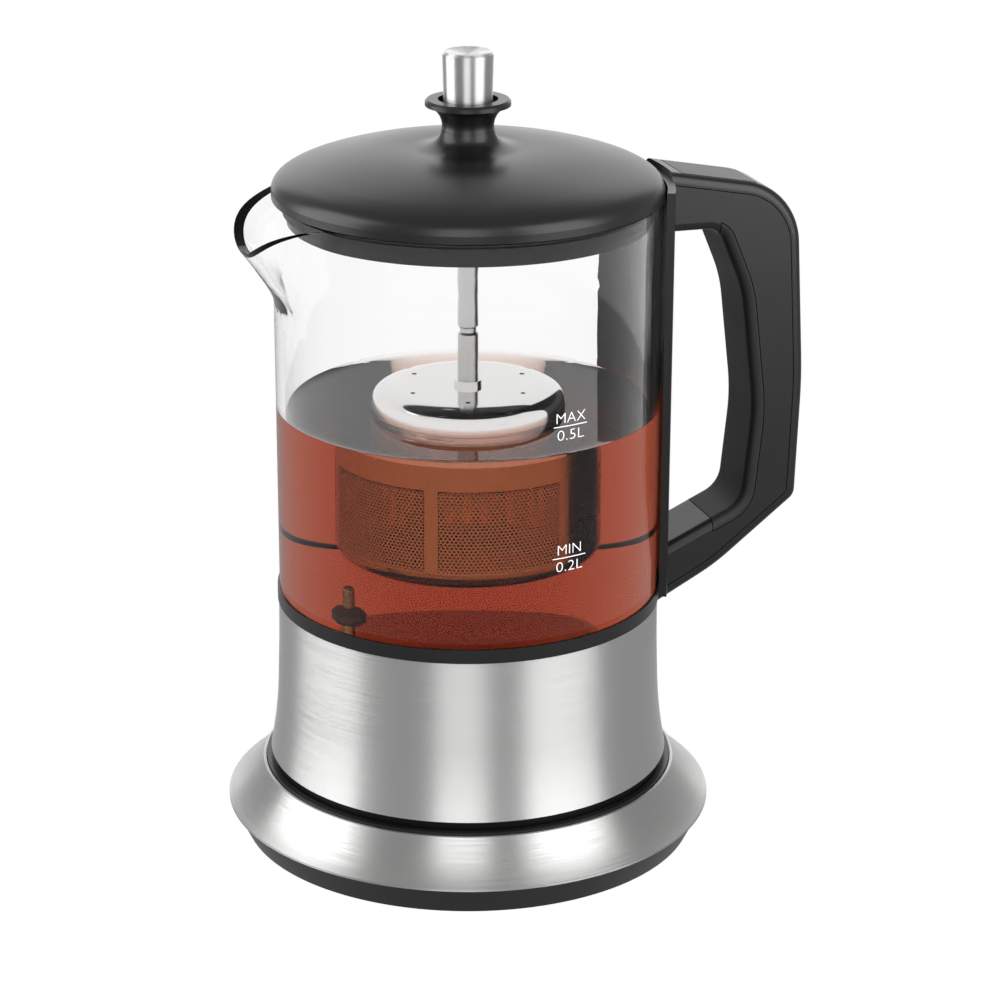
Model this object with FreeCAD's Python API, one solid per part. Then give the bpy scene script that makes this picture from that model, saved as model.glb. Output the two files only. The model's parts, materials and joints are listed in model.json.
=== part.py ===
"""Automatic tea maker: a glass jug with a lift-out infuser, a heated steel body and a round power base.

Millimetres, +Z up. The origin is on the jug's axis, on the surface that the feet stand on.
The handle points along +X and the pouring spout along -X.
"""

import math
import os

import FreeCAD
import Part
from FreeCAD import Vector

os.makedirs("parts", exist_ok=True)

# Power base
FOOT_RADIUS = 5.0
FOOT_CIRCLE = 55.0
FOOT_COUNT = 4
FOOT_RECESS = 1.0
BASE_EDGE_RADIUS = 64.6
BASE_RIM_RADIUS = 68.6
BASE_RIM_Z = 8.2
BASE_WALL = 2.2
RING_OVERHANG = 0.7
RING_OUTER_RADIUS = BASE_RIM_RADIUS + RING_OVERHANG
RING_INNER_RADIUS = 59.2
RING_TOP_Z = 19.6
RING_SHEET = 0.8
DECK_Z = 19.8
DECK_LIP = 0.6
DECK_LIP_WIDTH = 1.8
DECK_THICKNESS = 2.0
BASE_SCREW_CIRCLE = 48.0
BASE_SCREW_COUNT = 3
GLAND_RADIUS = 4.2
GLAND_BORE = 2.6
GLAND_LENGTH = 9.0
GLAND_INSIDE = 4.0
LEAD_RADIUS = 0.9
GLAND_LEAD_X = 1.2

# Round plug and socket between base and jug
SOCKET_RADIUS = 17.0
SOCKET_TOP_Z = 27.0
SOCKET_FLANGE_RADIUS = 21.0
SOCKET_FLANGE_THICKNESS = 2.0
PIN_RADIUS = 2.6
PIN_LENGTH = 7.5
PLUG_RING_INNER = 9.0
PLUG_RING_OUTER = 10.2
PLUG_BLOCK_RADIUS = 20.5
PLUG_TOP_Z = 33.0
PLUG_FLANGE = 2.8
PLUG_CLEARANCE = 1.0
CONTACT_CLEARANCE = 0.35
CONTACT_SHEET = 0.5
CONTACT_TAB_THICKNESS = 0.8
CONTACT_TAB_HALF = 2.0

# Glass
GLASS_RADIUS = 53.5
GLASS_WALL = 2.5
GLASS_BOTTOM_Z = 70.4
FIT = 0.05
RIM_Z = 184.8
SPOUT_OVERHANG = 10.5
SPOUT_REACH = GLASS_RADIUS + SPOUT_OVERHANG
SPOUT_FOOT_Z = 157.0
SPOUT_DROP = 11.0
SPOUT_HALF_ANGLE = 34.0
DIP_MARGIN = 0.7

# Jug body under the glass
BODY_FOOT_Z = 20.1
SHELL_BOTTOM_Z = 22.9
SHELL_TOP_Z = 68.7
SHELL_SHEET = 0.8
SHELL_TOP_RADIUS = GLASS_RADIUS + 0.3
SHELL_FLARE = ((3.0, 22.9), (1.8, 30.0), (0.9, 38.0), (0.4, 48.0), (0.1, 58.0), (0.0, 68.7))
BODY_FOOT_RADIUS = SHELL_TOP_RADIUS + 1.8
BODY_FLOOR = 2.2
TRIM_TOP_Z = 72.6
TRIM_WALL = 0.6
TRIM_RADIUS = GLASS_RADIUS + TRIM_WALL
TRIM_SPIGOT_Z = 60.0
TRIM_SPIGOT_WALL = 1.7
TRIM_SHELF = (GLASS_RADIUS - 7.5, 67.4, 69.4)
PILLAR_RADIUS = 3.6
BOARD_Z = 44.0
STAND_RADIUS = 2.5
BOARD_SIZE = (56.0, 36.0, 1.6)
RELAY_SIZE = (15.0, 16.0, 10.0)
BODY_SCREW_COUNT = 3

# Heater
FLOOR_Z = 72.0
PLATE_THICKNESS = 1.0
SPREADER_RADIUS = GLASS_RADIUS - 11.5
SPREADER_THICKNESS = 2.5
ELEMENT_CIRCLE = 27.0
ELEMENT_RADIUS = 3.3
ELEMENT_OPENING = 40.0
THERMOSTAT_RADIUS = 8.0
THERMOSTAT_HEIGHT = 6.0
PROBE_RADIUS = 1.6
PROBE_HEIGHT = 9.0
PROBE_POSITION = (-34.0, -11.7)
PROBE_SEAL_RADIUS = 4.6
PROBE_SEAL_HEIGHT = 2.2

# Handle, as distances from the jug's axis and heights
HANDLE_WIDTH = 21.0
HANDLE_EDGE_ROUND = 2.6
STRAP_GAP = 0.3
STRAP_THICKNESS = 2.2
STRAP_HALF_ANGLE = 26.0
STRAP_TOP_Z = 187.0
STRAP_BOTTOM_Z = 70.0
HANDLE_OUTLINE = (
    (50.0, 190.0, 0.0),
    (94.2, 181.6, 20.0),
    (97.4, 126.0, 150.0),
    (96.2, 90.5, 4.0),
    (72.0, 71.6, 60.0),
    (50.0, 60.0, 0.0),
)
HANDLE_WINDOW = (
    (50.0, 171.8, 0.0),
    (70.5, 171.6, 6.0),
    (78.2, 153.0, 40.0),
    (82.4, 118.0, 60.0),
    (79.6, 90.0, 8.0),
    (50.0, 76.5, 0.0),
)
COVER_THICKNESS = 3.2
GRIP_THICKNESS = 3.0
HANDLE_CORE_WALL = 2.4
SEAM_GAP = 0.25

# Start key on top of the handle
KEY_FRONT_X = 59.4
KEY_LENGTH = 22.0
KEY_WIDTH = 16.5
KEY_THICKNESS = 2.2
KEY_GAP = 0.35
KEY_PIN_RADIUS = 0.8
KEY_PIN_DEPTH = 1.6
KEY_STEM = 1.6
KEY_STEM_X = 66.0
SWITCH_SIZE = (6.0, 6.0, 3.4)
SWITCH_TOP_Z = 181.0
SWITCH_TRAVEL = 1.0
PLUNGER_HEIGHT = 1.2
PLUNGER_GAP = 0.15
PLUNGER_PLAY = 0.2
TONGUE_WIDTH = 9.0
TONGUE_LENGTH = 9.0
LOW_TONGUE = (74.4, 78.4)
HIGH_TONGUE = (174.2, 177.4)
LOW_SCREW_X = 61.4
HIGH_SCREW_X = 59.8
LEAD_HOLE_Z = 66.0

# Lid
LID_OVERHANG = 0.2
LID_RADIUS = GLASS_RADIUS + LID_OVERHANG
LID_BOTTOM_Z = 185.1
LID_EDGE_Z = 187.2
LID_DOME_OUTER = ((0.7, 189.2), (3.6, 191.5), (8.9, 193.6), (16.9, 195.8))
LID_DOME_INNER = ((28.0, 197.5), (15.5, 198.2))
LID_DOME = tuple((LID_RADIUS - inset, z) for inset, z in LID_DOME_OUTER) + LID_DOME_INNER
LID_NECK = (LID_DOME_INNER[-1], (11.0, 198.9), (8.6, 200.4), (7.4, 203.0))
LID_WALL = 2.2
NECK_RADIUS = 7.2
NECK_SEAM_Z = 203.0
SKIRT_CLEARANCE = 1.4
SKIRT_RADIUS = GLASS_RADIUS - GLASS_WALL - SKIRT_CLEARANCE
SKIRT_BOTTOM_Z = 178.2
SKIRT_WALL = 2.0
LID_GASKET_HEIGHT = 3.0
LID_GASKET_Z = 180.6
GASKET_GLASS_GAP = 0.3
COLLAR_RADIUS = 11.7
COLLAR_TOP_Z = 211.4
COLLAR_FLANGE_Z = 209.7
COLLAR_NECK = (NECK_RADIUS, NECK_SEAM_Z)
COLLAR_EDGE = (COLLAR_RADIUS, COLLAR_FLANGE_Z)
COLLAR_FLARE = (COLLAR_NECK, (NECK_RADIUS + 0.1, 205.6), (9.0, 208.4), COLLAR_EDGE)
COLLAR_WELL_RADIUS = 8.2
COLLAR_WELL_DEPTH = 2.6
BUSH_RADIUS = 4.6
BUSH_BOTTOM_Z = 176.6
LID_SCREW_CIRCLE = 30.0
LID_SCREW_COUNT = 3
LID_SCREW_REACH = 9.0
MARK_ANGLE = 24.0
MARK_LENGTH = 7.5
MARK_WIDTH = 0.5
MARK_DEPTH = 0.35

# Rod and infuser
ROD_RADIUS = 2.85
ROD_CLEARANCE = 0.08
ROD_GROOVE_DEPTH = 0.55
ROD_GROOVE_Z = 146.8
KNOB_TOP_RADIUS = 7.0
KNOB_FOOT_RADIUS = 6.6
KNOB_HEIGHT = 13.0
KNOB_TOP_Z = COLLAR_TOP_Z + KNOB_HEIGHT
KNOB_DISH = 0.7
INFUSER_RADIUS = 27.3
INFUSER_LID_TOP_Z = 131.0
INFUSER_LID_RIM_Z = 122.8
INFUSER_LID_FLAT = 20.0
INFUSER_SHEET = 0.6
BASKET_BOTTOM_Z = 82.0
BASKET_RIM_Z = 117.6
BASKET_RIM_WALL = 1.0
BASKET_CLEARANCE = 0.3
BASKET_LUG = 0.9
LUG_COUNT = 3
BASKET_TWIST_DEG = 18.0
BASKET_EDGE = 5.0
VENT_CIRCLE = 17.5
VENT_RADIUS = 0.7
VENT_COUNT = 6
ROD_COLLAR_RADIUS = 3.9
ROD_COLLAR_HEIGHT = 1.4
MESH_TOP_Z = 110.6
MESH_BOTTOM_Z = 88.0
MESH_HOLE_RADIUS = 0.8
MESH_ROWS = 6
MESH_PANELS = 5
MESH_COLUMNS = 7
MESH_PANEL_ANGLE = 60.0
ROD_FOOT_Z = 121.0

SCREW_RADIUS = 1.4
SCREW_HEAD_RADIUS = 2.8
SCREW_HEAD = 1.6
UP = Vector(0, 0, 1)


def save(name, *solids):
    """Writes one node; several solids become a group."""
    shape = solids[0] if len(solids) == 1 else Part.makeCompound(list(solids))
    shape.exportStep(f"parts/{name}.step")
    return shape


def rod(radius, z0, z1, x=0.0, y=0.0):
    return Part.makeCylinder(radius, z1 - z0, Vector(x, y, z0), UP)


def tube(outer, inner, z0, z1, x=0.0, y=0.0):
    return rod(outer, z0, z1, x, y).cut(rod(inner, z0 - 1, z1 + 1, x, y))


def turned(points):
    """A solid of revolution about the jug's axis from (radius, height) corners."""
    corners = [Vector(r, 0, z) for r, z in points]
    return Part.Face(Part.makePolygon(corners + corners[:1])).revolve(Vector(0, 0, 0), UP, 360)


def turned_wire(edges):
    return Part.Face(Part.Wire(edges)).revolve(Vector(0, 0, 0), UP, 360)


def line(a, b):
    return Part.LineSegment(Vector(a[0], 0, a[1]), Vector(b[0], 0, b[1])).toShape()


def arc(a, middle, b):
    ends = [Vector(p[0], 0, p[1]) for p in (a, middle, b)]
    return Part.Arc(*ends).toShape()


def curve(points):
    """A smooth curve through (radius, height) points."""
    spline = Part.BSplineCurve()
    spline.interpolate([Vector(r, 0, z) for r, z in points])
    return spline.toShape()


def polar(radius, degrees):
    turn = math.radians(degrees)
    return radius * math.cos(turn), radius * math.sin(turn)


def around(count, radius, make, start=0.0):
    """Copies of one small piece, evenly spaced on a circle."""
    return [make(*polar(radius, start + 360.0 * i / count)) for i in range(count)]


def block(x0, x1, y0, y1, z0, z1):
    return Part.makeBox(x1 - x0, y1 - y0, z1 - z0, Vector(x0, y0, z0))


def rounded_loop(corners):
    """A closed wire in the XZ plane from (x, z, corner radius) corners, in order."""
    count = len(corners)
    points = [Vector(x, 0, z) for x, z, _ in corners]
    starts, ends, arcs = [], [], []
    for i, (_, _, radius) in enumerate(corners):
        here = points[i]
        to_last = (points[i - 1] - here).normalize()
        to_next = (points[(i + 1) % count] - here).normalize()
        half = to_last.getAngle(to_next) / 2
        if radius == 0.0:
            starts.append(here)
            ends.append(here)
            arcs.append(None)
            continue
        cut = radius / math.tan(half)
        bisector = (to_last + to_next).normalize()
        centre = here + bisector * (radius / math.sin(half))
        starts.append(here + to_last * cut)
        ends.append(here + to_next * cut)
        arcs.append(Part.Arc(starts[i], centre - bisector * radius, ends[i]).toShape())
    edges = []
    for i in range(count):
        if arcs[i]:
            edges.append(arcs[i])
        edges.append(Part.LineSegment(ends[i], starts[(i + 1) % count]).toShape())
    return Part.Wire(edges)


def slab(wire, width):
    """A face of that outline, made width thick and centred on the XZ plane."""
    solid = Part.Face(wire).extrude(Vector(0, width, 0))
    solid.translate(Vector(0, -width / 2, 0))
    return solid


def screws(count, circle, head_z, tip_z, start=0.0):
    """Screws driven upwards, with the head at the bottom."""

    def one(x, y):
        return rod(SCREW_HEAD_RADIUS, head_z, head_z + SCREW_HEAD, x, y).fuse(
            rod(SCREW_RADIUS, head_z + SCREW_HEAD, tip_z, x, y)
        )

    return around(count, circle, one, start)


def inset_loop(corners, distance):
    """The same outline moved inwards, or outwards when distance is negative."""
    count = len(corners)
    lines = []
    for i in range(count):
        (x0, z0, _), (x1, z1, _) = corners[i], corners[(i + 1) % count]
        length = math.hypot(x1 - x0, z1 - z0)
        nx, nz = (z1 - z0) / length, -(x1 - x0) / length
        lines.append((nx, nz, nx * x0 + nz * z0 + distance))
    moved = []
    for i in range(count):
        (a, b, c), (d, e, f) = lines[i - 1], lines[i]
        det = a * e - b * d
        radius = corners[i][2]
        smaller = radius - distance if radius else 0.0
        moved.append(((c * e - b * f) / det, (a * f - c * d) / det, max(smaller, 0.5 if radius else 0.0)))
    return moved


def handle_slab(corners, distance, width):
    return slab(rounded_loop(inset_loop(corners, distance)), width)


# Power base

def make_base():
    floor = BASE_WALL
    slope = (BASE_RIM_RADIUS - BASE_EDGE_RADIUS) / BASE_RIM_Z
    plate = turned([
        (0, 0), (BASE_EDGE_RADIUS, 0), (BASE_RIM_RADIUS, BASE_RIM_Z),
        (BASE_RIM_RADIUS - BASE_WALL, BASE_RIM_Z),
        (BASE_EDGE_RADIUS - BASE_WALL + slope * floor, floor), (0, floor),
    ])
    feet = around(FOOT_COUNT, FOOT_CIRCLE, lambda x, y: rod(FOOT_RADIUS, 0, FOOT_RECESS, x, y), 45)
    head_z = FIT
    base_screws = screws(BASE_SCREW_COUNT, BASE_SCREW_CIRCLE, head_z, DECK_Z - DECK_THICKNESS - 4, 30)
    gland_z = BASE_RIM_Z / 2 + 0.4
    gland_end = BASE_RIM_RADIUS + GLAND_LENGTH / 2

    def along_y(radius, y0, y1, x=0.0, z=gland_z):
        return Part.makeCylinder(radius, y1 - y0, Vector(x, y0, z), Vector(0, 1, 0))

    gland_radius = min(GLAND_RADIUS, BASE_RIM_Z / 2 - 0.7)
    gland_start = gland_end - GLAND_LENGTH - GLAND_INSIDE
    gland = along_y(gland_radius, gland_start, gland_end)
    gland = gland.cut(along_y(GLAND_BORE, gland_start - 1, gland_end + 1))
    gland_hole = along_y(gland_radius + FIT, gland_start - 1, gland_end)
    plate = plate.cut(Part.makeCompound(feet)).cut(gland_hole)
    for x, y in around(BASE_SCREW_COUNT, BASE_SCREW_CIRCLE, lambda x, y: (x, y), 30):
        plate = plate.cut(rod(SCREW_HEAD_RADIUS + FIT, -1, head_z + SCREW_HEAD, x, y))
        plate = plate.cut(rod(SCREW_RADIUS + FIT, 0, floor + 1, x, y))

    lip_outer = RING_INNER_RADIUS - RING_SHEET - 0.2
    deck = turned([
        (SOCKET_RADIUS + FIT, DECK_Z - DECK_THICKNESS), (lip_outer, DECK_Z - DECK_THICKNESS),
        (lip_outer, DECK_Z + DECK_LIP), (lip_outer - DECK_LIP_WIDTH, DECK_Z + DECK_LIP),
        (lip_outer - DECK_LIP_WIDTH, DECK_Z), (SOCKET_RADIUS + FIT, DECK_Z),
    ])
    post_radius = SCREW_RADIUS * 2.4

    def post(x, y):
        return rod(post_radius, floor, DECK_Z - DECK_THICKNESS + 0.5, x, y)

    deck = deck.fuse(around(BASE_SCREW_COUNT, BASE_SCREW_CIRCLE, post, 30))
    skirt = tube(lip_outer, lip_outer - BASE_WALL, floor, DECK_Z - DECK_THICKNESS + 0.5)
    skirt = skirt.cut(along_y(gland_radius + FIT, lip_outer - BASE_WALL - 1, gland_end))
    deck = deck.fuse(skirt)
    for screw in base_screws:
        deck = deck.cut(screw.makeOffsetShape(FIT, 0.01))
    deck = deck.removeSplitter()

    rise = RING_TOP_Z - BASE_RIM_Z
    run = RING_OUTER_RADIUS - RING_INNER_RADIUS

    def flare(shift_r, shift_z):
        shape = ((1.0, 0.05), (0.55, 0.35), (0.24, 0.68), (0.0, 1.0))
        return [(RING_INNER_RADIUS + run * u + shift_r, BASE_RIM_Z + rise * v + shift_z) for u, v in shape]

    outer, inner = flare(0, 0), flare(-RING_SHEET, 0)
    inner[0] = (RING_OUTER_RADIUS - RING_SHEET * 1.6, BASE_RIM_Z)
    foot = (RING_OUTER_RADIUS, BASE_RIM_Z)
    ring = turned_wire([
        line(foot, outer[0]), curve(outer), line(outer[-1], inner[-1]), curve(inner[::-1]),
        line(inner[0], foot),
    ])

    top, under = SOCKET_TOP_Z, DECK_Z - DECK_THICKNESS
    well = top - PIN_LENGTH - CONTACT_CLEARANCE
    socket = rod(SOCKET_RADIUS, under - SOCKET_FLANGE_THICKNESS, top).fuse(
        rod(SOCKET_FLANGE_RADIUS, under - SOCKET_FLANGE_THICKNESS, under)
    )
    socket = socket.cut(rod(PIN_RADIUS + CONTACT_CLEARANCE, well, top + 1))
    ring_in, ring_out = PLUG_RING_INNER - CONTACT_CLEARANCE, PLUG_RING_OUTER + CONTACT_CLEARANCE
    socket = socket.cut(tube(ring_out, ring_in, well, top + 1))
    disc_low = well - CONTACT_SHEET

    def tab(x):
        half = CONTACT_TAB_THICKNESS / 2
        return block(x - half, x + half, -CONTACT_TAB_HALF, CONTACT_TAB_HALF, gland_z - 2, disc_low)

    middle = (PLUG_RING_INNER + PLUG_RING_OUTER) / 2
    inner_contact = rod(PIN_RADIUS, disc_low, well).fuse(tab(0))
    outer_contact = tube(PLUG_RING_OUTER, PLUG_RING_INNER, disc_low, well).fuse(tab(middle))
    socket = socket.cut(Part.makeCompound([inner_contact, outer_contact]))
    leads = []
    beside = CONTACT_TAB_THICKNESS / 2 + LEAD_RADIUS
    lead_start = CONTACT_TAB_HALF + 0.5
    for x_tab, x_gland in ((beside, -GLAND_LEAD_X), (middle + beside + 0.1, GLAND_LEAD_X)):
        lead = Vector(x_gland - x_tab, gland_start - lead_start, 0)
        leads.append(Part.makeCylinder(LEAD_RADIUS, lead.Length, Vector(x_tab, lead_start, gland_z), lead))

    save("base_bottom_plate", plate)
    save("base_feet", *feet)
    save("base_screws", *base_screws)
    save("base_cord_gland", gland)
    save("base_deck", deck)
    save("base_cover_ring", ring)
    save("base_socket", socket)
    save("base_contacts", inner_contact, outer_contact)
    save("base_leads", *leads)


# Jug body and heater

def make_plug():
    """The round plug under the jug; it turns freely on the base's socket."""
    hollow_top = SOCKET_TOP_Z + PLUG_CLEARANCE
    seat = BODY_FOOT_Z + BODY_FLOOR + 0.3
    plug = turned([
        (0, hollow_top), (SOCKET_RADIUS + PLUG_CLEARANCE, hollow_top),
        (SOCKET_RADIUS + PLUG_CLEARANCE, BODY_FOOT_Z + 0.4), (PLUG_BLOCK_RADIUS, BODY_FOOT_Z + 0.4),
        (PLUG_BLOCK_RADIUS, seat), (PLUG_BLOCK_RADIUS + PLUG_FLANGE, seat),
        (PLUG_BLOCK_RADIUS + PLUG_FLANGE, seat + 2), (PLUG_BLOCK_RADIUS, seat + 2),
        (PLUG_BLOCK_RADIUS, PLUG_TOP_Z), (0, PLUG_TOP_Z),
    ])
    tip = SOCKET_TOP_Z - PIN_LENGTH + 0.1
    pin = rod(PIN_RADIUS, tip, hollow_top + 2)
    ring = tube(PLUG_RING_OUTER, PLUG_RING_INNER, tip, hollow_top + 2)
    save("jug_plug", plug.cut(Part.makeCompound([pin, ring])))
    save("plug_contacts", pin, ring)


def lead_hole():
    """The way for the start key's leads from the handle into the body."""
    return Part.makeCylinder(LEAD_RADIUS * 2, 12, Vector(GLASS_RADIUS - 4.5, 0, LEAD_HOLE_Z), Vector(1, 0, 0))


def shell_curve(inset):
    return [(SHELL_TOP_RADIUS + out - inset, z) for out, z in SHELL_FLARE]


def make_jug_body():
    outer, inner = shell_curve(0), shell_curve(SHELL_SHEET)
    shell = turned_wire([
        curve(outer), line(outer[-1], inner[-1]), curve(inner[::-1]), line(inner[0], outer[0]),
    ])
    low_inner = inner[0][0]
    cap_wall = low_inner - 2.4
    floor_top = BODY_FOOT_Z + BODY_FLOOR
    cap = turned([
        (PLUG_BLOCK_RADIUS + 0.3, BODY_FOOT_Z), (BODY_FOOT_RADIUS, BODY_FOOT_Z),
        (BODY_FOOT_RADIUS + 0.6, SHELL_BOTTOM_Z), (cap_wall, SHELL_BOTTOM_Z),
        (cap_wall, SHELL_BOTTOM_Z + 6), (cap_wall - 2, SHELL_BOTTOM_Z + 6),
        (cap_wall - 2, floor_top), (PLUG_BLOCK_RADIUS + 0.3, floor_top),
    ])
    shelf_in, shelf_low, shelf_top = TRIM_SHELF
    spigot = shell_curve(SHELL_SHEET)[-1][0] - FIT
    bore = GLASS_RADIUS + FIT
    trim = turned([
        (shelf_in, shelf_low), (spigot - TRIM_SPIGOT_WALL, shelf_low),
        (spigot - TRIM_SPIGOT_WALL, TRIM_SPIGOT_Z),
        (spigot, TRIM_SPIGOT_Z), (spigot, SHELL_TOP_Z), (TRIM_RADIUS, SHELL_TOP_Z),
        (TRIM_RADIUS, TRIM_TOP_Z), (bore, TRIM_TOP_Z), (bore, shelf_top), (shelf_in, shelf_top),
    ])
    centre = shelf_in + 1.2

    def pillar(x, y):
        return rod(PILLAR_RADIUS, floor_top, shelf_low + 0.5, x, y)

    trim = trim.fuse(around(BODY_SCREW_COUNT, centre, pillar, 90)).removeSplitter()
    body_screws = screws(BODY_SCREW_COUNT, centre, BODY_FOOT_Z + FIT, floor_top + 12, 90)
    for x, y in around(BODY_SCREW_COUNT, centre, lambda x, y: (x, y), 90):
        cap = cap.cut(rod(SCREW_HEAD_RADIUS + FIT, BODY_FOOT_Z - 1, BODY_FOOT_Z + FIT + SCREW_HEAD, x, y))
        cap = cap.cut(rod(SCREW_RADIUS + FIT, BODY_FOOT_Z, floor_top + 1, x, y))
        trim = trim.cut(rod(SCREW_RADIUS + FIT, floor_top - 1, floor_top + 13, x, y))

    px, py = PROBE_POSITION
    plate_bottom = FLOOR_Z - PLATE_THICKNESS
    rim = GLASS_RADIUS - GLASS_WALL - 0.6
    plate = turned([
        (0, plate_bottom), (rim - PLATE_THICKNESS, plate_bottom), (rim - PLATE_THICKNESS, shelf_top),
        (rim, shelf_top), (rim, FLOOR_Z), (0, FLOOR_Z),
    ]).cut(rod(PROBE_RADIUS + FIT, plate_bottom - 1, FLOOR_Z + 1, px, py))
    gasket = tube(GLASS_RADIUS, rim + FIT, shelf_top, GLASS_BOTTOM_Z).fuse(
        tube(GLASS_RADIUS - GLASS_WALL - FIT, rim + FIT, shelf_top, FLOOR_Z)
    )
    spreader_low = plate_bottom - SPREADER_THICKNESS
    spreader = rod(SPREADER_RADIUS, spreader_low, plate_bottom).cut(
        rod(PROBE_RADIUS + FIT, spreader_low - 1, plate_bottom + 1, px, py)
    )
    centre_z = spreader_low - ELEMENT_RADIUS - FIT
    start = Part.Circle(Vector(ELEMENT_CIRCLE, 0, centre_z), Vector(0, 1, 0), ELEMENT_RADIUS).toShape()
    element = Part.Face(Part.Wire(start)).revolve(Vector(0, 0, 0), UP, 360 - ELEMENT_OPENING)
    element.rotate(Vector(0, 0, 0), UP, ELEMENT_OPENING / 2)
    board_x, board_y, board_t = BOARD_SIZE
    board_top = BOARD_Z + board_t
    board = block(-board_x / 2, board_x / 2, -board_y / 2, board_y / 2, BOARD_Z, board_top)
    relay_x, relay_y, relay_z = RELAY_SIZE
    relay = block(-relay_x - 3, -3, -relay_y / 2, relay_y / 2, board_top, board_top + relay_z)
    ends = [polar(ELEMENT_CIRCLE, side * (ELEMENT_OPENING / 2 + 5)) for side in (1, -1)]
    element_leads = [rod(LEAD_RADIUS, board_top, centre_z - ELEMENT_RADIUS * 0.9, x, y) for x, y in ends]
    element = element.cut(Part.makeCompound(element_leads))
    thermostat = rod(THERMOSTAT_RADIUS, spreader_low - THERMOSTAT_HEIGHT, spreader_low)
    probe = rod(PROBE_RADIUS, spreader_low - 4, FLOOR_Z + PROBE_HEIGHT - PROBE_RADIUS, px, py).fuse(
        Part.makeSphere(PROBE_RADIUS, Vector(px, py, FLOOR_Z + PROBE_HEIGHT - PROBE_RADIUS))
    ).removeSplitter()
    seal = rod(PROBE_SEAL_RADIUS, FLOOR_Z, FLOOR_Z + PROBE_SEAL_HEIGHT, px, py)
    seal = seal.makeChamfer(PROBE_SEAL_HEIGHT / 2, [e for e in seal.Edges if e.BoundBox.ZMin > FLOOR_Z + 1])
    seal = seal.cut(rod(PROBE_RADIUS + FIT, FLOOR_Z - 1, FLOOR_Z + 9, px, py))
    stands = [
        rod(STAND_RADIUS, floor_top, BOARD_Z, sx * (board_x / 2 - 4), sy * (board_y / 2 - 4))
        for sx in (1, -1) for sy in (1, -1)
    ]
    plug_leads = [rod(LEAD_RADIUS, PLUG_TOP_Z + 0.3, BOARD_Z, 0, y) for y in (-6, 6)]

    save("body_shell", shell.cut(lead_hole()))
    save("bottom_cap", cap.fuse(stands))
    save("trim_ring", trim.cut(lead_hole()))
    save("body_screws", *body_screws)
    save("heater_plate", plate)
    save("glass_gasket", gasket)
    save("heat_spreader", spreader)
    save("heating_element", element)
    save("thermostat", thermostat)
    save("temperature_probe", probe)
    save("probe_seal", seal)
    save("control_board", board)
    save("board_relay", relay)
    save("element_leads", *element_leads)
    save("plug_leads", *plug_leads)


# Glass

def spout_section(radius, z):
    """A closed curve round the jug at one height, drawn out towards the spout."""
    rise = max(0.0, (z - SPOUT_FOOT_Z) / (RIM_Z - SPOUT_DROP - SPOUT_FOOT_Z))
    points = []
    steps = 72
    for i in range(steps):
        degrees = 360.0 * i / steps
        off = abs(degrees - 180.0) / SPOUT_HALF_ANGLE
        bump = (1 + math.cos(math.pi * min(off, 1.0))) / 2
        x, y = polar(radius + (SPOUT_REACH - GLASS_RADIUS) * bump * rise**1.2, degrees)
        points.append(Vector(x, y, z))
    spline = Part.BSplineCurve()
    spline.interpolate(points, PeriodicFlag=True)
    return Part.Wire(spline.toShape())


def make_glass():
    bore = GLASS_RADIUS - GLASS_WALL
    top = RIM_Z + 2
    start = SPOUT_FOOT_Z - 6
    heights = [start + (top - start) * i / 8 for i in range(9)]

    def skin(radius):
        straight = Part.Face(spout_section(radius, start)).extrude(Vector(0, 0, GLASS_BOTTOM_Z - start))
        return straight.fuse(Part.makeLoft([spout_section(radius, z) for z in heights], True))

    jar = skin(GLASS_RADIUS).cut(skin(bore))
    jar = jar.cut(block(-90, 90, -90, 90, RIM_Z, top + 5))
    half = GLASS_RADIUS * math.sin(math.radians(SPOUT_HALF_ANGLE))
    far = -SPOUT_REACH - 9
    dip = []
    for i in range(17):
        y = half * (i / 8 - 1)
        bump = (1 + math.cos(math.pi * y / half)) / 2
        dip.append(Vector(far, y, RIM_Z + DIP_MARGIN - (SPOUT_DROP + DIP_MARGIN) * bump))
    spline = Part.BSplineCurve()
    spline.interpolate(dip)
    corners = [dip[-1], dip[-1] + Vector(0, 0, 20), dip[0] + Vector(0, 0, 20), dip[0]]
    edges = [spline.toShape()] + [Part.LineSegment(a, b).toShape() for a, b in zip(corners, corners[1:])]
    cutter = Part.Face(Part.Wire(edges)).extrude(Vector(-far - bore * 0.7, 0, 0))
    save("glass_jar", jar.cut(cutter))


# Handle and start key

def wedge(radius, z0, z1, half_angle):
    slice_ = Part.makeCylinder(radius, z1 - z0, Vector(0, 0, z0), UP, 2 * half_angle)
    slice_.rotate(Vector(0, 0, 0), UP, -half_angle)
    return slice_


def rounded_sides(solid):
    """Rounds the long edges where the handle's outline meets its two flat sides."""
    far = HANDLE_WIDTH / 2
    edges = []
    for edge in solid.Edges:
        box = edge.BoundBox
        if abs(abs(box.YMin) - far) < 0.01 and box.YLength < 0.01 and box.XMax > STRAP_OUTER + 1:
            edges.append(edge)
    return solid.makeFillet(HANDLE_EDGE_ROUND, edges)


STRAP_INNER = TRIM_RADIUS + STRAP_GAP
STRAP_OUTER = STRAP_INNER + STRAP_THICKNESS


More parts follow.
